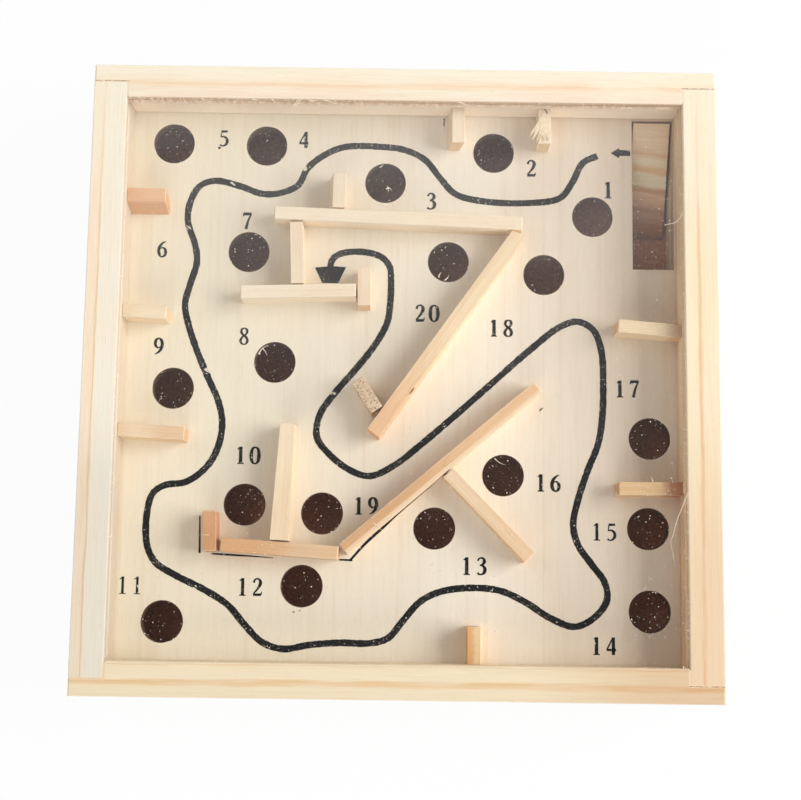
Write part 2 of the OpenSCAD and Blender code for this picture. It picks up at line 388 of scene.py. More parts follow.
# Strips: heading, colour at the near end, colour at the far end
STRIPS = {
    "left_back_stub": (0, (237, 189, 147), (241, 195, 153)),
    "left_middle_stub": (-2.5, (247, 227, 195), (248, 229, 198)),
    "left_front_strip": (-2.8, (243, 219, 185), (237, 204, 166)),
    "back_left_stub": (-90, (252, 233, 204), (252, 235, 208)),
    "back_right_stub": (-90, (252, 233, 204), (252, 237, 210)),
    "right_back_strip": (175.7, (226, 191, 155), (244, 221, 184)),
    "right_front_strip": (180.4, (197, 139, 107), (229, 195, 151)),
    "front_stub": (90, (233, 181, 123), (246, 214, 168)),
    "top_bar": (-1.8, (252, 236, 210), (252, 233, 204)),
    "top_bar_stub": (89.2, (248, 230, 202), (250, 234, 208)),
    "finish_side_strip": (-87.6, (249, 228, 200), (251, 233, 206)),
    "finish_bar": (1.8, (252, 239, 216), (252, 235, 209)),
    "finish_end_stub": (91, (247, 223, 194), (249, 227, 199)),
    "upper_diagonal": (-125.1, (251, 227, 189), (240, 197, 154)),
    "lower_diagonal": (40.6, (219, 173, 129), (239, 199, 154)),
    "lower_branch": (-45.6, (241, 214, 179), (238, 207, 169)),
    "corner_upright": (87.2, (245, 221, 188), (249, 229, 199)),
    "corner_bar": (-3.6, (222, 173, 127), (230, 197, 159)),
    "corner_stub": (91.9, (209, 157, 115), (217, 165, 123)),
}
# Strips whose colours don't meet halfway along them, or meet across: heading, place and length of the change
FADES = {
    "front_stub": (0, 0.5, 0.5), "right_back_strip": (175.7, 0.16, 0.2), "right_front_strip": (180.4, 0.27, 0.25),
    "upper_diagonal": (-125.1, 0.68, 0.5),
}
# Strips with a band of another colour along the right side of the top: painted light where the lower diagonal's side
# is lit, and painted shade along the left back stub's front. Turn to that side, its width on the top, and the colour
SIDE_LIGHT_AND_SHADE = {"lower_diagonal": (-90, 0.8 * MM, (248, 222, 188)), "left_back_stub": (-90, 1.2 * MM, (216, 168, 128))}
STRIP_EDGE = 0.2 * MM
STRIP_WEAR = 0.4
LATE_SHARE = (0.88, 0.76, 0.62, 1.0)
RING_GAP = 1.5 * MM
# How far aside of a strip its pith lies at most, and how far below it, in millimetres
PITH_ASIDE, PITH_DEPTH = 30, 40


def fade(f, node, angle, near, far, middle=0.5, soft=0.5):
    """A colour that goes from near to far along the angle, with an uneven border."""
    heading = heading_of(angle)
    reach = [v.co.dot(heading) for v in nodes[node].data.vertices]
    length = max(reach) - min(reach)
    place = f.place(tuple(heading * min(reach)), turn_z(angle), (length, 1, 1))["X"]
    place = f.sway(place, f.blots((3, 0.7), turn_z(angle)), soft * 0.8)
    return f.mix(f.step(place, middle - soft / 2, middle + soft / 2), near, far)


def strip_wood(name, node, pith, shift, worn):
    """The wood of one strip: its own colours, and faint growth rings round its pith."""
    f = Finish(name)
    angle, near, far = STRIPS[node]
    change, *border = FADES.get(node, (angle,))
    colour = fade(f, node, change, tone(*near), tone(*far), *border)
    across = f.place(pith, turn_z(angle))
    radius = f.math("SQRT", f.math("ADD", f.math("POWER", across["Y"], 2.0), f.math("POWER", across["Z"], 2.0)))
    patches = f.blots((40, 5), turn_z(angle), shift=shift)
    radius = f.math("ADD", radius, f.times(patches, RING_GAP))
    phase = f.math("FRACT", f.math("DIVIDE", radius, RING_GAP))
    ring = f.times(f.step(phase, 0.3, 0.9), f.step(phase, 1.0, 0.92))
    late = tuple(channel * share for channel, share in zip(tone(*far), LATE_SHARE))
    colour = f.mix(f.times(ring, f.step(patches, 0.3, 0.65, 0.05, 0.3)), colour, late)
    # Painted light along the lower diagonal's lit side, painted shade along the left back stub's front
    if node in SIDE_LIGHT_AND_SHADE:
        turn, width, side_colour = SIDE_LIGHT_AND_SHADE[node]
        sideways = angle + turn
        lateral = heading_of(sideways)
        edge = max(v.co.dot(lateral) for v in nodes[node].data.vertices)
        place = f.sway(f.place(tuple(lateral * edge), turn_z(sideways))["X"], patches, 0.5 * width)
        colour = f.mix(f.step(place, -1.2 * width, -0.8 * width, 0.0, 0.8), colour, tone(*side_colour))
    grain(f, angle, shift, colour, 0.3, 0.2, worn)
    return f


for strip in STRIPS:
    low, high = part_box(strip)
    aside = (rng.uniform(-PITH_ASIDE, PITH_ASIDE), rng.uniform(-PITH_ASIDE, PITH_ASIDE), -PITH_DEPTH)
    look = (strip, tuple((low + high) / 2 + Vector(aside) * MM), any_shift())
    wood = strip_wood(strip + "_wood", *look, 0.0)
    dress(strip, STRIP_EDGE, wood, strip_wood(strip + "_edge", *look, STRIP_WEAR))

# End grain: pores on a pale ground, with the grain upright
UPRIGHT = (0.0, -math.pi / 2, 0.0)
GRAIN_GROUND, GRAIN_PALE, GRAIN_PORE = tone(214, 188, 156), tone(232, 208, 178), tone(106, 76, 54)
GRAIN_WEAR = 0.2
GRAIN_BUMP = 0.2 * MM


def end_grain(name, worn):
    f = Finish(name)
    spots = f.cells((30, 0.52), UPRIGHT)
    mottle = f.blots((30, 0.9), UPRIGHT, 3.0, shift=(4 * MM, 0, 0))
    fine = f.blots((6, 0.15), UPRIGHT)
    hole = f.times(f.step(spots, 0.36, 0.18), f.step(mottle, 0.37, 0.48))
    colour = f.mix(f.step(mottle, 0.4, 0.62), GRAIN_PALE, GRAIN_GROUND)
    colour = darken(f, f.step(fine, 0.35, 0.7, 0.0, 0.5), colour, FIBRE_SHADE)
    colour = f.mix(f.times(hole, 0.85), colour, GRAIN_PORE)
    if worn:
        colour = f.mix(worn, colour, WORN)
    f.matt(colour, fine, 0.7, 0.88, 0.25)
    f.bump(f.math("SUBTRACT", fine, hole), 0.6, GRAIN_BUMP)
    return f


dress("end_grain_stub", STRIP_EDGE, end_grain("end_grain_wood", 0.0), end_grain("end_grain_edge", GRAIN_WEAR))

# Maze board: pale veneer with its grain from front to back, one seam in it, and painted shade on the walls of its
# holes and on its edges, paler in the slot where light falls in
# Veneer colours from the board's left side to its right; the darker right end is painted shade beside the right rail
VENEER_AND_SHADE = [
    (0.0, (244, 234, 211)), (0.3, (240, 230, 210)), (0.5, (242, 232, 213)), (0.68, (249, 240, 223)),
    (1.0, (229, 213, 192)),
]
SEAM_X = 30 * MM
SEAM_W = 0.25 * MM
# Painted shade on the walls of the holes and on the board's edges; paler at the slot, where light falls in
PAINTED_HOLE_SHADE = tone(88, 62, 47)
SLOT_WALL = tone(206, 176, 146)
SLOT_CORNER = {"X": 46 * MM, "Y": 22 * MM}
BOARD_EDGE = 0.13 * MM
BOARD_BUMP = 0.06 * MM
EDGE_SHADE_SHARE = 0.8


def veneer(name, edge_shade):
    f = Finish(name)
    along = turn_z(90)
    here = f.place()
    side = here["X"]
    patches = f.blots((80, 16), along, shift=(9 * MM, 20 * MM, 0))
    bands = f.blots((120, 1.7), along, shift=(2 * MM, 5 * MM, 0))
    fibres = f.blots((6, 0.2), along, 3.0, 0.6)
    flecks = f.blots((1.8, 0.2), along, 1.0)
    colour = f.ramp(f.sway(f.step(side, -WALL, WALL), patches, 0.5), VENEER_AND_SHADE)
    colour = darken(f, f.step(bands, 0.48, 0.75, 0.0, 0.22), colour, FIBRE_SHADE)
    colour = darken(f, f.step(fibres, 0.45, 0.7, 0.0, 0.2), colour, FIBRE_SHADE)
    colour = darken(f, f.step(flecks, 0.68, 0.76, 0.0, 0.12), colour, PORE_SHADE)
    seam = f.times(f.step(side, SEAM_X - SEAM_W, SEAM_X), f.step(side, SEAM_X + SEAM_W, SEAM_X))
    colour = darken(f, f.times(seam, 0.3), colour, FIBRE_SHADE)
    slot = f.times(*(f.step(here[axis], corner, corner + MM) for axis, corner in SLOT_CORNER.items()))
    flat = f.math("ABSOLUTE", f.upward())
    # Painted shade on upright faces, and partly on the rounded top edges; paler at the slot
    colour = f.mix(f.step(flat, 0.9, 0.5, edge_shade, 1.0), colour, f.mix(slot, PAINTED_HOLE_SHADE, SLOT_WALL))
    f.matt(colour, fibres, 0.6, 0.8, 0.25)
    f.bump(fibres, 0.25, BOARD_BUMP)
    return f


dress("maze_board", BOARD_EDGE, veneer("board_wood", 0.0), veneer("board_edge", EDGE_SHADE_SHARE))

# Ramp: uneven growth bands cross it at a slant, its foot is darker with painted shade, and a ragged band of painted
# shade lies along its right edge, where a gap is
# Band colours from the foot to the top; the darker first bands are painted shade at the foot
RAMP_BANDS_AND_SHADE = [
    (0.0, (140, 86, 54)), (0.06, (160, 108, 74)), (0.09, (182, 122, 76)), (0.13, (184, 126, 82)),
    (0.16, (182, 134, 96)), (0.23, (204, 156, 116)), (0.27, (186, 136, 96)), (0.3, (214, 166, 126)),
    (0.4, (242, 200, 158)), (0.43, (218, 166, 118)), (0.46, (220, 168, 122)), (0.49, (255, 242, 210)),
    (0.57, (255, 242, 210)), (0.6, (246, 206, 158)), (0.63, (250, 212, 166)), (0.67, (255, 242, 210)),
    (0.71, (254, 238, 206)), (0.75, (240, 202, 160)), (0.78, (248, 220, 184)), (0.88, (250, 226, 192)),
    (1.0, (238, 212, 180)),
]
RAMP_TURN = 83
RAMP_SHIFT = (5 * MM, 1 * MM, 7 * MM)
RAMP_EDGE = 0.15 * MM
GAP_SHADE = tone(72, 52, 42)
# How far the painted shade along the right edge wanders, and where it starts and is full, from the ramp's right side
GAP_SHADE_REACH, GAP_SHADE_START, GAP_SHADE_FULL = 1.4 * MM, -0.2 * MM, 0.1 * MM


def ramp_wood():
    f = Finish("ramp_wood")
    turn = turn_z(RAMP_TURN)
    low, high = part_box("return_ramp")
    place = f.place((low.x, low.y, 0), turn, (high.y - low.y, 1, 1))["X"]
    place = f.sway(place, f.blots((1.2, 7), turn, shift=(3 * MM, 0, 0)), 0.035)
    colour = f.ramp(place, RAMP_BANDS_AND_SHADE)
    side = f.sway(f.place()["X"], f.blots((0.8, 1.6), detail=3.0, roughness=0.7), GAP_SHADE_REACH)
    # Painted shade of the gap beside the right edge, stronger towards the foot
    gap_shade = f.times(f.step(side, high.x + GAP_SHADE_START, high.x + GAP_SHADE_FULL), f.step(place, 0.85, 0.4, 0.4, 0.9))
    grain(f, 0, RAMP_SHIFT, f.mix(gap_shade, colour, GAP_SHADE), 0.4, 0.2)
    return f


dress("return_ramp", RAMP_EDGE, ramp_wood())

# Base: dark hardboard with pale specks, and a screen pattern underneath
SCREEN_PITCH = 1.3 * MM
BASE_EDGE = 0.2 * MM
BASE_BUMP = 0.15 * MM
# Colours of the underside and of the top
CLOT_DARK = (tone(96, 66, 50), tone(184, 116, 83))
CLOT_PALE = (tone(142, 102, 76), tone(208, 147, 109))
THREAD, PALE_SPECK = tone(204, 152, 116), tone(216, 196, 170)


def hardboard():
    f = Finish("hardboard")
    clots = f.blots((0.9, 0.9), detail=4.0, roughness=0.7)
    threads = f.blots((2.2, 0.16), turn_z(35))
    specks = f.cells((0.8, 0.8))
    above = f.step(f.upward(), 0.5, 0.9)
    colour = f.mix(f.step(clots, 0.35, 0.7), f.mix(above, *CLOT_DARK), f.mix(above, *CLOT_PALE))
    colour = f.mix(f.step(threads, 0.6, 0.72, 0.0, 0.5), colour, THREAD)
    colour = f.mix(f.step(specks, 0.12, 0.06, 0.0, 0.6), colour, PALE_SPECK)
    here = f.place()
    weave = f.times(*(f.math("SINE", f.times(here[axis], math.tau / SCREEN_PITCH)) for axis in "XY"))
    under = f.step(f.upward(), -0.5, -0.9)
    f.matt(colour, clots, 0.55, 0.8, 0.3)
    f.bump(f.math("ADD", clots, f.times(weave, under)), 0.5, BASE_BUMP)
    return f


dress("base_panel", BASE_EDGE, hardboard())

# Cover: clear sheet with a faint gloss, and a film of dust that thickens to the back
SHEET_IOR = 1.15
FILM_START = -0.6 * WALL
FILM_SHARES = (0.006, 0.055)


def clear_sheet():
    f = Finish("clear_sheet")
    smears = f.blots((60, 14), turn_z(20), 3.0)
    film = f.step(f.place()["Y"], FILM_START, WALL, *FILM_SHARES)
    film = f.times(film, f.step(smears, *NOISE_RANGE, 0.7, 1.2))
    f.surface(Base_Color=tone(240, 238, 236), Roughness=f.step(smears, 0.35, 0.75, 0.04, 0.14))
    # On the way out of the sheet there is no gloss, because the light isn't bent there and would be shut in
    outer = f.math("SUBTRACT", 1.0, f.add("NewGeometry").outputs["Backfacing"])
    gloss = f.times(f.add("Fresnel", {"IOR": SHEET_IOR}).outputs["Fac"], outer)
    clear = f.add("BsdfTransparent").outputs["BSDF"]
    f.blend(f.math("MAXIMUM", gloss, film), clear, f.shader.outputs["BSDF"])
    return f


paint("clear_cover", clear_sheet())

# Ball: polished steel with fine scuffs
SCUFF_TURN = (0.4, 0.9, 0.2)
SCUFF_BUMP = 0.02 * MM
STEEL, STEEL_DIM = tone(214, 216, 220), tone(196, 198, 202)


def steel():
    f = Finish("polished_steel")
    scuffs = f.blots((2.5, 0.12), SCUFF_TURN)
    colour = f.mix(f.step(f.blots((2, 2)), 0.35, 0.7), STEEL, STEEL_DIM)
    f.surface(Base_Color=colour, Metallic=1.0, Roughness=f.step(scuffs, 0.5, 0.75, 0.08, 0.24))
    f.bump(scuffs, 0.08, SCUFF_BUMP)
    return f


paint("steel_ball", steel())


# Pieces built from points

def put_in_scene(name, data):
    obj = bpy.data.objects.new(name, data)
    bpy.context.scene.collection.objects.link(obj)
    return obj


class Shape:
    """A mesh that grows by patches and then becomes one piece of the object."""

    def __init__(self):
        self.verts, self.faces = [], []

    def add(self, verts, faces):
        first = len(self.verts)
        self.verts += [tuple(v) for v in verts]
        self.faces += [tuple(first + i for i in face) for face in faces]

    def piece(self, name, finish, thick=0.0):
        mesh = bpy.data.meshes.new(name)
        mesh.from_pydata(self.verts, [], self.faces)
        mesh.materials.append(finish.material)
        obj = put_in_scene(name, mesh)
        if thick:
            solid = obj.modifiers.new("film", "SOLIDIFY")
            solid.thickness = thick
            solid.offset = 1.0
        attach(obj, "box")


TINY = 1e-9


def smooth(points, step):
    """Points about step apart on a curve through the given ones, all their numbers included."""
    vectors = [Vector(p) for p in points]
    vectors = [2 * vectors[0] - vectors[1]] + vectors + [2 * vectors[-1] - vectors[-2]]
    out = []
    for a, b, c, d in zip(vectors, vectors[1:], vectors[2:], vectors[3:]):
        t0 = 0.0
        t1 = t0 + max(TINY, (b - a).length ** 0.5)
        t2 = t1 + max(TINY, (c - b).length ** 0.5)
        t3 = t2 + max(TINY, (d - c).length ** 0.5)
        count = max(1, math.ceil((c - b).length / step))
        for i in range(count):
            t = t1 + (t2 - t1) * i / count
            e = a * ((t1 - t) / (t1 - t0)) + b * ((t - t0) / (t1 - t0))
            g = b * ((t2 - t) / (t2 - t1)) + c * ((t - t1) / (t2 - t1))
            h = c * ((t3 - t) / (t3 - t2)) + d * ((t - t2) / (t3 - t2))
            k = e * ((t2 - t) / (t2 - t0)) + g * ((t - t0) / (t2 - t0))
            m = g * ((t3 - t) / (t3 - t1)) + h * ((t - t1) / (t3 - t1))
            out.append(k * ((t2 - t) / (t2 - t1)) + m * ((t - t1) / (t2 - t1)))
    return out + [vectors[-2]]


def ribbon(shape, points, z):
    """A flat band along points of (x, y, width) in millimetres, at height z."""
    verts, faces = [], []
    for i, p in enumerate(points):
        before, after = points[max(i - 1, 0)], points[min(i + 1, len(points) - 1)]
        way = Vector((after[0] - before[0], after[1] - before[1])).normalized()
        side = Vector((-way.y, way.x)) * p[2] / 2
        verts += [
            ((p[0] - side.x) * MM, (p[1] - side.y) * MM, z),
            ((p[0] + side.x) * MM, (p[1] + side.y) * MM, z),
        ]
    for i in range(len(points) - 1):
        faces.append((2 * i, 2 * i + 2, 2 * i + 3, 2 * i + 1))
    shape.add(verts, faces)


def strokes(shape, lines, step, z):
    """Such bands along smooth lines."""
    for line in lines:
        ribbon(shape, smooth(line, step), z)


# Print

ROUTE = [
    (41.5, 49.7), (38.4, 48.1), (36.1, 43.7), (33.5, 40.3), (27.1, 39.1), (16.4, 39.4), (11.0, 40.9), (7.8, 44.3),
    (4.5, 48.3), (0.2, 50.4), (-4.1, 51.0), (-12.7, 50.9), (-17.0, 49.1), (-20.6, 46.1), (-22.6, 42.3),
    (-26.4, 40.5), (-30.3, 40.3), (-35.0, 41.9), (-40.4, 43.0), (-43.6, 41.8), (-45.6, 38.0), (-45.9, 33.9),
    (-44.2, 28.9), (-43.7, 25.2), (-45.0, 20.2), (-45.9, 16.0), (-45.2, 12.2), (-43.1, 6.2), (-40.5, 0.3),
    (-38.3, -4.4), (-37.3, -8.6), (-37.6, -12.8), (-39.2, -17.0), (-41.6, -19.8), (-44.6, -21.7), (-48.8, -22.4),
    (-51.2, -24.1), (-52.3, -28.6), (-52.0, -34.8), (-50.2, -38.3), (-46.0, -40.9), (-39.7, -43.9), (-34.9, -46.9),
    (-31.3, -50.9), (-27.7, -54.3), (-23.4, -55.6), (-17.9, -54.7), (-11.7, -54.2), (-5.6, -54.2), (-1.9, -53.1),
    (0.9, -49.8), (4.5, -45.7), (8.6, -43.6), (14.8, -42.7), (21.0, -43.2), (26.1, -45.4), (31.3, -48.6),
    (36.4, -50.3), (40.5, -48.3), (43.0, -44.8), (42.6, -41.3), (40.0, -37.7), (37.1, -33.6), (36.1, -29.5),
    (37.1, -24.3), (39.2, -18.0), (41.3, -12.7), (42.2, -7.5), (42.5, 0.0), (42.1, 7.4), (40.4, 11.7), (37.2, 13.4),
    (33.4, 12.2), (27.1, 7.2), (18.7, -0.4), (10.4, -7.9), (4.2, -13.3), (-1.0, -17.5), (-6.2, -19.9),
    (-10.4, -18.7), (-14.6, -15.6), (-17.4, -11.9), (-16.9, -7.2), (-13.8, -2.5), (-9.7, 2.4), (-5.6, 7.8),
    (-3.1, 12.6), (-2.5, 16.9), (-2.4, 21.6), (-2.7, 24.6), (-4.1, 26.5), (-6.3, 27.5), (-9.6, 27.9), (-12.5, 27.6),
    (-14.3, 26.8), (-15.1, 25.7), (-15.4, 24.2),
]
ROUTE_W = 1.38
ROUGH_W = 0.11
PRINT_STEP = 0.35
PRINT_Z = BOARD_TOP + INK_LIFT
# Spots where the print has come off, with their reach
WORN_SPOTS = [
    (-21.4, 46.1, 1.3), (-46.0, 32.4, 1.5), (-40.8, 1.8, 1.3), (-14.3, -2.5, 1.3), (-36.6, 42.4, 1.1),
    (-9.9, -19.3, 1.1), (-41.8, -43.3, 0.7), (-53.5, -43.2, 0.7),
]
INK_DARK, INK_DULL, INK_BARE = tone(16, 17, 18), tone(30, 30, 29), tone(226, 216, 198)
INK_BUMP = 0.02 * MM


def ink():
    """Blue-black print that has worn off in specks, and more at a few spots."""
    f = Finish("ink")
    place = f.space()
    grit = f.blots((0.28, 0.28), roughness=0.6)
    cloud = f.blots((5, 5), shift=(7 * MM, 0, 0))
    slash = f.blots((3.0, 0.34), turn_z(-35), 1.0)
    wear = f.sway(grit, cloud, 0.22)
    for x, y, reach in WORN_SPOTS:
        spot = (x * MM, y * MM, BOARD_TOP)
        away = f.add("VectorMath", {0: place, 1: spot}, operation="DISTANCE").outputs["Value"]
        bare = f.times(f.step(away, reach * MM, reach * 0.3 * MM), f.step(slash, 0.48, 0.56))
        wear = f.math("MAXIMUM", wear, bare)
    colour = f.mix(f.step(cloud, *NOISE_RANGE), INK_DARK, INK_DULL)
    colour = f.mix(f.step(wear, 0.62, 0.8), colour, INK_BARE)
    f.matt(colour, grit, 0.6, 0.85, 0.1)
    f.bump(grit, 0.2, INK_BUMP)
    return f


INK = ink()

route = Shape()
band = smooth([(x, y, ROUTE_W) for x, y in ROUTE], PRINT_STEP)
ribbon(route, [(x, y, width + rng.uniform(-ROUGH_W, ROUGH_W)) for x, y, width in band], PRINT_Z)
route.piece("printed_route", INK, thick=INK_T)

marks = Shape()
START_ARROW = [
    (44.4, 50.4), (46.1, 49.3), (46.3, 49.8), (48.6, 49.8), (48.6, 51.0), (46.3, 51.1), (46.1, 51.5),
]
FINISH_MARK = [(-18.6, 24.3), (-17.0, 21.0), (-13.6, 21.0), (-12.0, 24.5), (-15.2, 24.7)]
for outline in (START_ARROW, FINISH_MARK):
    marks.add([(x * MM, y * MM, PRINT_Z) for x, y in outline], [tuple(range(len(outline)))])
GUIDES = [
    [(-41.3, -28.6, 0.3), (-41.2, -32.0, 0.35), (-41.1, -36.3, 0.45)],
    [(-38.6, -36.4, 0.3), (-34.8, -36.6, 0.42), (-30.7, -36.8, 0.3), (-25.9, -37.1, 0.12)],
    [(-12.3, -37.3, 0.35), (-9.5, -37.35, 0.45)],
    [(-9.9, -37.3, 0.45), (-7.0, -34.0, 0.55), (-3.6, -30.8, 0.6), (-0.1, -27.4, 0.55), (3.3, -24.4, 0.5),
     (8.2, -20.1, 0.4)],
    [(8.5, 57.6, 0.3), (8.5, 55.8, 0.2)],
    [(-40.0, 50.4, 0.2), (-39.7, 50.3, 0.5), (-39.4, 50.4, 0.2)],
]
strokes(marks, GUIDES, PRINT_STEP, PRINT_Z)
marks.piece("printed_marks", INK, thick=INK_T)

# Strokes of the numerals as (x, y, width), in heights of a numeral
GLYPHS = {
    "0": [[(0.26, 0.98, 0.06), (0.12, 0.88, 0.11), (0.06, 0.62, 0.15), (0.06, 0.36, 0.15), (0.12, 0.11, 0.11),
           (0.26, 0.01, 0.06), (0.4, 0.11, 0.11), (0.46, 0.36, 0.15), (0.46, 0.62, 0.15), (0.4, 0.88, 0.11),
           (0.26, 0.98, 0.06)]],
    "1": [[(0.26, 0.99, 0.14), (0.26, 0.03, 0.15)], [(0.09, 0.84, 0.04), (0.24, 0.94, 0.09)],
          [(0.09, 0.02, 0.05), (0.43, 0.02, 0.05)]],
    "2": [[(0.08, 0.74, 0.11), (0.12, 0.89, 0.08), (0.25, 0.97, 0.07), (0.39, 0.89, 0.11), (0.43, 0.73, 0.15),
           (0.36, 0.52, 0.12), (0.2, 0.28, 0.08), (0.06, 0.1, 0.06)],
          [(0.05, 0.06, 0.12), (0.47, 0.06, 0.12)], [(0.46, 0.05, 0.06), (0.51, 0.23, 0.04)]],
    "3": [[(0.08, 0.8, 0.08), (0.14, 0.92, 0.07), (0.26, 0.97, 0.07), (0.39, 0.89, 0.11), (0.42, 0.74, 0.14),
           (0.33, 0.6, 0.09), (0.19, 0.54, 0.05)],
          [(0.19, 0.54, 0.05), (0.36, 0.5, 0.09), (0.45, 0.34, 0.15), (0.42, 0.14, 0.13), (0.28, 0.03, 0.07),
           (0.15, 0.03, 0.07), (0.07, 0.11, 0.11)]],
    "4": [[(0.36, 0.97, 0.06), (0.04, 0.31, 0.06)], [(0.02, 0.28, 0.1), (0.52, 0.28, 0.1)],
          [(0.38, 0.99, 0.13), (0.38, 0.0, 0.14)]],
    "5": [[(0.13, 0.91, 0.12), (0.46, 0.92, 0.11)], [(0.14, 0.95, 0.05), (0.09, 0.56, 0.05)],
          [(0.09, 0.56, 0.05), (0.22, 0.6, 0.08), (0.38, 0.51, 0.12), (0.45, 0.33, 0.15), (0.39, 0.13, 0.13),
           (0.26, 0.03, 0.08), (0.13, 0.03, 0.07), (0.06, 0.1, 0.11)]],
    "6": [[(0.46, 0.96, 0.04), (0.29, 0.86, 0.09), (0.13, 0.64, 0.14), (0.08, 0.37, 0.15), (0.14, 0.13, 0.13),
           (0.27, 0.02, 0.07), (0.41, 0.11, 0.12), (0.46, 0.32, 0.14), (0.4, 0.51, 0.11), (0.28, 0.58, 0.06),
           (0.14, 0.5, 0.05)]],
    "7": [[(0.04, 0.77, 0.04), (0.08, 0.94, 0.07)], [(0.06, 0.92, 0.13), (0.5, 0.92, 0.13)],
          [(0.48, 0.91, 0.06), (0.33, 0.54, 0.09), (0.21, 0.0, 0.13)]],
    "8": [[(0.26, 0.98, 0.06), (0.14, 0.92, 0.1), (0.1, 0.76, 0.12), (0.18, 0.6, 0.11), (0.36, 0.44, 0.12),
           (0.44, 0.24, 0.13), (0.38, 0.07, 0.1), (0.26, 0.01, 0.06), (0.13, 0.07, 0.1), (0.07, 0.24, 0.13),
           (0.16, 0.44, 0.09), (0.34, 0.6, 0.08), (0.42, 0.76, 0.12), (0.38, 0.92, 0.1), (0.26, 0.98, 0.06)]],
}
# A nine is a six turned round in its box
GLYPH_BOX = (0.52, 0.99)
GLYPHS["9"] = [[(GLYPH_BOX[0] - x, GLYPH_BOX[1] - y, w) for x, y, w in stroke] for stroke in GLYPHS["6"]]
# Middles of the numerals
NUMERALS = {
    1: (43.8, 42.2), 2: (27.3, 46.8), 3: (5.9, 39.2), 4: (-21.6, 52.4), 5: (-38.8, 52.5), 6: (-51.2, 27.9),
    7: (-33.3, 34.3), 8: (-33.2, 9.3), 9: (-51.1, 6.9), 10: (-31.7, -15.9), 11: (-55.2, -43.1), 12: (-30.5, -43.1),
    13: (15.6, -38.2), 14: (42.3, -54.1), 15: (42.5, -30.8), 16: (30.9, -20.8), 17: (47.5, -0.8), 18: (21.0, 11.8),
    19: (-6.9, -26.1), 20: (5.3, 14.8),
}
NUMERAL_H = 3.6
NUMERAL_PITCH = 3.0
NUMERAL_WEIGHT = 1.35
NUMERAL_STRETCH = 1.08
# Numerals that are printed thinner than the others
THIN = {5: 0.85, 6: 0.9, 8: 0.85, 9: 0.9, 11: 0.7, 12: 0.9, 15: 0.85}
GLYPH_MIDDLE = (0.26, 0.5)

numerals = Shape()
for value, (x, y) in NUMERALS.items():
    digits = str(value)
    weight = NUMERAL_H * NUMERAL_WEIGHT * THIN.get(value, 1.0)
    for i, digit in enumerate(digits):
        left = x + (i - (len(digits) - 1) / 2) * NUMERAL_PITCH
        lines = [
            [
                (left + (u - GLYPH_MIDDLE[0]) * NUMERAL_H * NUMERAL_STRETCH, y + (v - GLYPH_MIDDLE[1]) * NUMERAL_H,
                 width * weight)
                for u, v, width in stroke
            ]
            for stroke in GLYPHS[digit]
        ]
        strokes(numerals, lines, PRINT_STEP / 2, PRINT_Z)
numerals.piece("printed_numerals", INK, thick=INK_T)


# Loose fibres, splinters and dust

CRUMB_BUMP = 0.05 * MM


def plain(name, first, second, size, roughness):
    """A matt finish that varies between two colours, in spots of a size."""
    f = Finish(name)
    spots = f.blots((size, size))
    colour = f.mix(f.step(spots, 0.35, 0.65), first, second)
    f.surface(Base_Color=colour, Roughness=roughness, Specular_IOR_Level=0.2)
    f.bump(spots, 0.2, CRUMB_BUMP)
    return f


FIBRE = plain("fibre", tone(255, 247, 232), tone(246, 230, 204), 0.6, 0.7)
SPLINTER = plain("splinter", tone(252, 236, 208), tone(240, 216, 180), 0.6, 0.7)
DUST = plain("dust", tone(240, 233, 223), tone(208, 198, 186), 0.5, 0.8)
SAWDUST = plain("sawdust", tone(240, 216, 192), tone(216, 189, 163), 0.8, 0.85)
LINT = plain("lint", tone(243, 209, 177), tone(234, 198, 164), 0.8, 0.85)
CRACK = plain("crack", tone(150, 112, 84), tone(120, 84, 60), 0.4, 0.8)

HAIR_STEP, HAIR_SIDES, HAIR_TAPER = 0.4, 3, 0.8
SLIVER_STEP, SLIVER_T, SLIVER_TIP, SLIVER_TAPER = 0.3, 0.06, 0.08, 1.6


def stations(points, step):
    """Points on a smooth line, each with the ways to its side and over it and its share of the line."""
    line = smooth(points, step)
    last = len(line) - 1
    for i, p in enumerate(line):
        way = (line[min(i + 1, last)] - line[max(i - 1, 0)]).normalized()
        side = way.cross(Vector((0, 0, 1))).normalized()
        yield p, side, side.cross(way), i / last


def skin(shape, verts, sides, flip=False):
    """A closed tube over rings of so many sides, whose points follow one another."""
    last = len(verts) - sides
    faces = []
    for first in range(0, last, sides):
        for k in range(sides):
            m = (k + 1) % sides
            faces.append((first + k, first + m, first + sides + m, first + sides + k))
    faces += [tuple(range(sides))[::-1], tuple(range(last, last + sides))]
    if flip:
        faces = [(face[0], *face[:0:-1]) for face in faces]
    shape.add(verts, faces)


def hair(shape, points, thick, step=HAIR_STEP):
    """A tapering thread along points of (x, y, z)."""
    verts = []
    for p, side, over, share in stations(points, step):
        radius = thick / 2 * (1 - HAIR_TAPER * share)
        for k in range(HAIR_SIDES):
            turn = math.tau * k / HAIR_SIDES
            verts.append((p + side * radius * math.cos(turn) + over * radius * math.sin(turn)) * MM)
    skin(shape, verts, HAIR_SIDES)


def sliver(shape, points, width):
    """A flat pointed splinter along points of (x, y, z)."""
    verts = []
    for p, side, over, share in stations(points, SLIVER_STEP):
        half = width / 2 * max(SLIVER_TIP, 1 - share ** SLIVER_TAPER)
        verts += [(p + side * half * a + over * SLIVER_T / 2 * b) * MM for a, b in SQUARE]
    skin(shape, verts, len(SQUARE))


RIM_MM, WALL_MM, COVER_MM = RIM / MM, WALL / MM, COVER_TOP / MM
STRIP_MM, BASE_MM = STRIP_TOP / MM, BASE_TOP / MM

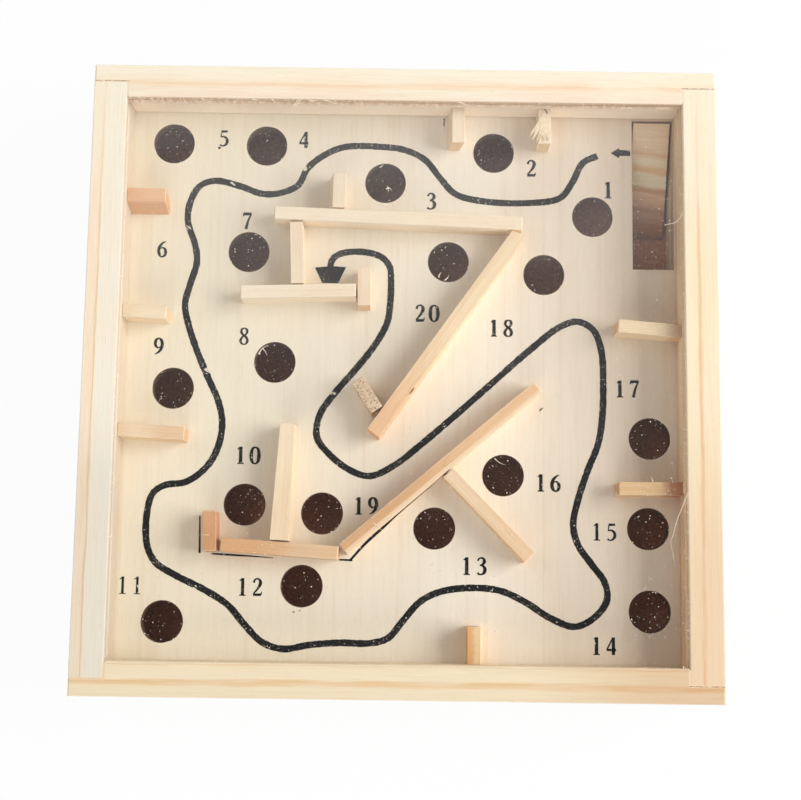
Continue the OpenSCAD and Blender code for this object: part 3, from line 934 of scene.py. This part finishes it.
fibres = Shape()
FRINGE_STEP, FRINGE_DROOP, FRINGE_SINK, FRINGE_T = 0.3, (0.1, 0.9), (0.1, 0.3), (0.08, 0.2)
# Bend of a fibre, in shares of its length and its droop
FRINGE_BEND = [(0, 0), (0.5, 0.25), (1, 1)]


def fringe(start, end, inward, count, longest):
    """Short fibres along the inner edge of a rail, from start to end, that lean inward."""
    edge = Vector((end[0] - start[0], end[1] - start[1])).normalized()
    for _ in range(count):
        share = rng.random()
        x, y = (a + (b - a) * share for a, b in zip(start, end))
        along = edge * rng.uniform(-1, 1)
        length = longest * (0.25 + 0.75 * rng.random() ** 3)
        droop = rng.uniform(*FRINGE_DROOP)
        z = RIM_MM - rng.uniform(*FRINGE_SINK)
        points = [
            (x + length * s * (inward[0] + along.x), y + length * s * (inward[1] + along.y), z - droop * d * length)
            for s, d in FRINGE_BEND
        ]
        hair(fibres, points, rng.uniform(*FRINGE_T), FRINGE_STEP)


BACK_SPLIT = -8
fringe((-WALL_MM, WALL_MM), (BACK_SPLIT, WALL_MM), (0, -1), 70, 1.5)
fringe((BACK_SPLIT, WALL_MM), (WALL_MM, WALL_MM), (0, -1), 40, 1.0)
fringe((WALL_MM, WALL_MM), (WALL_MM, -WALL_MM), (-1, 0), 60, 0.9)
fringe((-WALL_MM, WALL_MM), (-WALL_MM, -WALL_MM), (1, 0), 26, 0.6)
fringe((-WALL_MM, -WALL_MM), (WALL_MM, -WALL_MM), (0, 1), 30, 0.6)

LONG_FIBRE_T = 0.34
LONG_FIBRES = [
    [(58.2, 35.9, 24.7), (57.5, 34.1, 24.6), (56.6, 33.0, 24.6), (55.7, 32.6, 24.5), (54.0, 32.3, 24.5)],
    [(58.1, -23.2, 24.8), (56.9, -26.2, 24.7), (55.9, -28.6, 24.6), (55.0, -31.8, 24.5), (54.6, -32.9, 24.4),
     (55.0, -35.5, 24.3), (55.4, -37.6, 24.2)],
    [(-22.0, 58.2, 24.8), (-23.0, 57.2, 24.7), (-24.1, 55.9, 24.5)],
    [(-21.6, 58.2, 24.8), (-22.3, 57.3, 24.7), (-23.0, 56.9, 24.6)],
    [(-17.4, 58.2, 24.8), (-15.8, 57.8, 24.7), (-14.2, 57.2, 24.7)],
    [(-32.2, 58.2, 24.8), (-31.4, 57.9, 24.7), (-30.8, 57.8, 24.6)],
    [(-28.0, 58.2, 24.8), (-27.4, 57.7, 24.7), (-26.9, 57.3, 24.6)],
    [(-20.3, 58.2, 24.8), (-19.4, 57.8, 24.7), (-18.4, 57.9, 24.7)],
    [(-53.2, 58.2, 24.8), (-52.7, 57.5, 24.7), (-52.3, 57.1, 24.6)],
    [(-42.8, 58.2, 24.8), (-42.1, 57.8, 24.7), (-41.5, 57.6, 24.6)],
    [(10.8, 58.2, 24.8), (12.0, 57.8, 24.7), (13.4, 57.3, 24.6)],
]
for line in LONG_FIBRES:
    hair(fibres, line, LONG_FIBRE_T)
fibres.piece("rim_fibres", FIBRE)

splinters = Shape()
# A fan of splinters torn from the top of one stub: its first and last root, and all its tips
FAN_ROOTS = [(29.4, 56.8), (30.5, 54.4)]
FAN_TIPS = [
    (26.6, 51.8), (26.9, 51.0), (27.3, 51.4), (27.9, 50.7), (28.5, 50.4), (29.0, 50.6), (29.6, 50.3), (30.2, 50.4),
    (30.5, 50.7),
]
FAN_LAYERS = 2
FAN_W = (0.8, 1.1)
for layer in range(FAN_LAYERS):
    lift = 0.1 + 0.12 * layer
    for i, (x, y) in enumerate(FAN_TIPS):
        share = i / (len(FAN_TIPS) - 1)
        root = [a + (b - a) * share + rng.uniform(-0.2, 0.2) for a, b in zip(*FAN_ROOTS)]
        points = [
            (root[0], root[1], STRIP_MM + 0.03),
            ((root[0] + x) / 2, (root[1] + y) / 2, STRIP_MM + lift + rng.uniform(0.0, 0.1)),
            (x + rng.uniform(-0.2, 0.2), y + rng.uniform(-0.1, 0.3) + 0.4 * layer, STRIP_MM + lift - 0.1),
        ]
        sliver(splinters, points, rng.uniform(*FAN_W))
# Single splinters: width, and points whose height is above the strip
SPLINTERS = [
    (0.22, [(-5.2, -29.9, 0.0), (-4.2, -30.8, 0.12), (-3.3, -31.5, -0.1)]),
    (0.16, [(-38.5, -32.8, 0.03), (-39.6, -32.8, 0.1), (-40.6, -32.9, 0.0)]),
    (0.18, [(51.7, -20.9, 0.0), (51.5, -20.2, 0.15), (51.3, -19.7, 0.0)]),
    (0.14, [(55.7, -20.9, 0.0), (55.6, -20.3, 0.15), (55.3, -19.9, 0.0)]),
]
for width, line in SPLINTERS:
    sliver(splinters, [(x, y, STRIP_MM + z) for x, y, z in line], width)
splinters.piece("strip_splinters", SPLINTER)

# Cracks in the tops of two strips
cracks = Shape()
CRACKS = [
    [(29.5, 57.9, 0.12), (29.9, 57.5, 0.25), (30.1, 57.1, 0.2), (30.0, 56.8, 0.1)],
    [(2.65, -2.15, 0.25), (2.25, -2.75, 0.3), (1.65, -3.55, 0.1)],
]
CRACK_STEP = 0.3
strokes(cracks, CRACKS, CRACK_STEP, STRIP_TOP + INK_LIFT)
cracks.piece("strip_cracks", CRACK, thick=INK_T)

# Specks on the board
specks = Shape()
SPECKS = [
    [(29.1, -5.9, 0.1), (29.4, -5.4, 0.35), (29.8, -5.1, 0.15)],
    [(-21.6, -48.1, 0.15), (-21.4, -48.1, 0.3), (-21.2, -48.0, 0.15)],
    [(-20.3, -47.8, 0.1), (-20.2, -47.8, 0.25), (-20.0, -47.9, 0.1)],
]
SPECK_STEP = 0.1
strokes(specks, SPECKS, SPECK_STEP, PRINT_Z)
specks.piece("board_specks", CRACK, thick=INK_T)

# Sawdust along the back edge of the cover, and warmer lint along its right edge
BEAD_STEP, BEAD_GAP, BEAD_W, BEAD_H = 1.3, 0.01, (0.2, 0.6), (0.26, 0.42)


def bead(shape, start, end):
    """A low fillet of sawdust in the corner between the cover and a rail that lies to the left of its way."""
    way = Vector((end[0] - start[0], end[1] - start[1], 0))
    side = Vector((-way.y, way.x, 0)).normalized()
    count = round(way.length / BEAD_STEP)
    verts = []
    for i in range(count + 1):
        foot = Vector((start[0], start[1], COVER_MM + BEAD_GAP)) + way * (i / count)
        width, height = rng.uniform(*BEAD_W), rng.uniform(*BEAD_H)
        against = foot - side * BEAD_GAP
        ring = (foot - side * width, against + Vector((0, 0, height)), against)
        verts += [p * MM for p in ring]
    skin(shape, verts, len(ring), flip=True)


sawdust = Shape()
bead(sawdust, (-WALL_MM, WALL_MM), (WALL_MM, WALL_MM))
sawdust.piece("sawdust", SAWDUST)
lint = Shape()
bead(lint, (WALL_MM, WALL_MM), (WALL_MM, -WALL_MM))
lint.piece("lint", LINT)

# Joints of the rails, filled flush: a broken brown line along the side rails' ends, except at the front left
SEAM_HALF = 0.14 * MM
FILLER_SINK = 0.05 * MM
FILLER_W, FILLER_STEP, FILLER_MARGIN = 0.62, 0.5, 0.3
FILLER_WOOD = (tone(246, 229, 202), tone(238, 210, 176))
FILLER_LINE = tone(158, 114, 80)


def filler():
    f = Finish("joint_filler")
    crumbs = f.blots((1.3, 0.5), roughness=0.6)
    here = f.place()
    off = f.math("ABSOLUTE", f.math("SUBTRACT", f.math("ABSOLUTE", here["Y"]), TONGUE))
    share = f.math("MAXIMUM", f.step(here["X"], -MM, MM), f.step(here["Y"], -MM, MM))
    crack = f.times(f.step(crumbs, 0.42, 0.56, 0.1, 0.9), f.step(off, SEAM_HALF, SEAM_HALF * 0.5))
    wood = f.mix(f.step(here["Y"], MM, -MM), *FILLER_WOOD)
    f.matt(f.mix(f.times(crack, share), wood, FILLER_LINE), crumbs, 0.6, 0.85, 0.25)
    f.bump(crumbs, 0.2, CRUMB_BUMP)
    return f


joints = Shape()
seam, outside = TONGUE / MM, OUTSIDE / MM
for sx in (-1, 1):
    for sy in (-1, 1):
        lines = [
            [(WALL_MM - FILLER_W / 2, seam), (outside - FILLER_MARGIN, seam)],
            [(WALL_MM, WALL_MM + FILLER_MARGIN), (WALL_MM, seam - FILLER_W / 2)],
        ]
        lines = [[(sx * x, sy * y, FILLER_W) for x, y in line] for line in lines]
        strokes(joints, lines, FILLER_STEP, RIM - FILLER_SINK)
joints.piece("joint_filler", filler(), thick=INK_T)

dust = Shape()
DUST_T = 0.04 * MM
DUST_LIFT = 0.01
FLAKE_SIDES, FLAKE_SQUASH, FLAKE_ROUGH = 6, (0.35, 1.0), (0.7, 1.2)


def flake(x, y, z, least, more):
    """A flat crumb of dust with an uneven outline, most often near the least size."""
    size = least + more * rng.random() ** 2
    turn = rng.uniform(0, math.tau)
    squash = rng.uniform(*FLAKE_SQUASH)
    ring = []
    for k in range(FLAKE_SIDES):
        angle = math.tau * k / FLAKE_SIDES
        radius = size / 2 * rng.uniform(*FLAKE_ROUGH)
        u, v = radius * math.cos(angle), radius * math.sin(angle) * squash
        ring.append((
            (x + u * math.cos(turn) - v * math.sin(turn)) * MM,
            (y + u * math.sin(turn) + v * math.cos(turn)) * MM,
            (z + DUST_LIFT) * MM,
        ))
    dust.add(ring, [tuple(range(FLAKE_SIDES))])


# Middles of the holes in the board
HOLES = [
    (40.4, 36.2), (19.2, 50.0), (-3.9, 43.0), (-29.5, 50.9), (-49.4, 51.1), (-32.7, 27.5), (-26.6, 3.8),
    (-47.8, -2.0), (-32.1, -26.2), (-48.4, -50.4), (-19.9, -42.8), (7.3, -30.6), (51.8, -47.1), (51.6, -30.1),
    (21.5, -19.4), (52.1, -11.3), (30.0, 23.4), (-16.0, -27.8), (9.7, 25.9),
]
COVER_FLAKES, HOLE_FLAKES = 5200, 8
COVER_SPREAD, HOLE_SPREAD = WALL_MM - 0.5, 6.0
for _ in range(COVER_FLAKES):
    x, y = (rng.uniform(-COVER_SPREAD, COVER_SPREAD) for _ in range(2))
    flake(x, y, COVER_MM, 0.14, 0.18)
for x, y in HOLES:
    for _ in range(HOLE_FLAKES):
        angle, away = rng.uniform(0, math.tau), HOLE_SPREAD * math.sqrt(rng.random())
        flake(x + away * math.cos(angle), y + away * math.sin(angle), BASE_MM, 0.15, 0.35)
dust.piece("dust", DUST, thick=DUST_T)

# Shavings on the cover, bowed up in the middle
shavings = Shape()
SHAVINGS = [
    [(-29.3, 4.2), (-28.6, 5.3), (-27.4, 6.1)],
    [(-28.6, 5.5), (-27.9, 4.7), (-27.5, 3.8)],
    [(19.2, -16.6), (20.3, -17.5), (21.4, -17.9)],
    [(7.5, 20.8), (7.6, 21.3), (8.0, 21.9)],
    [(8.7, 20.2), (9.3, 20.7), (9.6, 21.4)],
    [(-3.7, 39.5), (-3.0, 39.7), (-2.4, 39.0)],
    [(-3.4, 40.1), (-3.2, 39.4), (-3.3, 38.7)],
    [(-5.1, 44.1), (-4.6, 44.4), (-4.3, 44.8)],
]
SHAVING_LIFTS = (0.05, 0.15, 0.05)
SHAVING_W = (0.14, 0.26)
for line in SHAVINGS:
    points = [(x, y, COVER_MM + lift) for (x, y), lift in zip(line, SHAVING_LIFTS)]
    sliver(shavings, points, rng.uniform(*SHAVING_W))
shavings.piece("shavings", FIBRE)


# Floor, light and camera

FLOOR_HALF = 2.0
FLOOR_WHITE = 0.95


def floor_finish():
    """Pale paper that shows as almost white and keeps the shadow."""
    f = Finish("floor")
    f.surface(Base_Color=tone(240, 241, 245), Roughness=0.9, Specular_IOR_Level=0.1)
    glow = f.add("Emission", {"Color": WHITE, "Strength": 1.0}).outputs["Emission"]
    f.blend(f.times(f.seen(), FLOOR_WHITE), f.shader.outputs["BSDF"], glow)
    return f


floor_mesh = bpy.data.meshes.new("floor")
floor_mesh.from_pydata([(x * FLOOR_HALF, y * FLOOR_HALF, 0) for x, y in SQUARE], [], [(0, 1, 2, 3)])
floor_mesh.materials.append(floor_finish().material)
floor = put_in_scene("floor", floor_mesh)

# World: an even fill, and white where it is seen
FILL = 0.28
FILL_COLOUR = (1.0, 0.99, 0.98, 1.0)
world = bpy.data.worlds.new("studio")
world.use_nodes = True
bpy.context.scene.world = world
sky = Nodes(world.node_tree, "World Output")
fill = sky.tree.nodes["Background"]
sky.put(fill.inputs["Color"], FILL_COLOUR)
sky.put(fill.inputs["Strength"], FILL)
white = sky.add("Background", {"Color": WHITE, "Strength": 1.0})
sky.blend(sky.seen(), fill.outputs["Background"], white.outputs["Background"])

# Square soft lamps that face the object: place, size, power in watts and colour
LAMPS = {
    "key": ((1.5, 0.16, 0.95), 1.3, 34.5, (1.0, 0.99, 0.975)),
    "front": ((0.0, -1.5, 0.78), 1.2, 10.0, (0.99, 0.99, 1.0)),
    "left": ((-1.0, 0.5, 1.3), 1.2, 4.0, (0.99, 0.99, 1.0)),
}
for name, (place, size, power, colour) in LAMPS.items():
    data = bpy.data.lights.new(name, "AREA")
    data.size = size
    data.energy = power
    data.color = colour
    lamp = put_in_scene(name, data)
    lamp.location = place
    lamp.rotation_euler = (Vector((0, 0, BOARD_TOP)) - Vector(place)).to_track_quat("-Z", "Y").to_euler()

# Camera at the photograph's angle: almost straight down, from a little in front of the middle
SENSOR, LENS = 36.0, 63.69
CAMERA_PLACE = (-0.39 * MM, -44.71 * MM, 309.84 * MM)
CAMERA_TURN = (7.906, -0.176, 0.789)
camera_data = bpy.data.cameras.new("camera")
camera_data.sensor_width = SENSOR
camera_data.lens = LENS
camera = put_in_scene("camera", camera_data)
camera.location = CAMERA_PLACE
camera.rotation_euler = tuple(math.radians(a) for a in CAMERA_TURN)
bpy.context.scene.camera = camera
bpy.context.scene.view_settings.view_transform = "Standard"
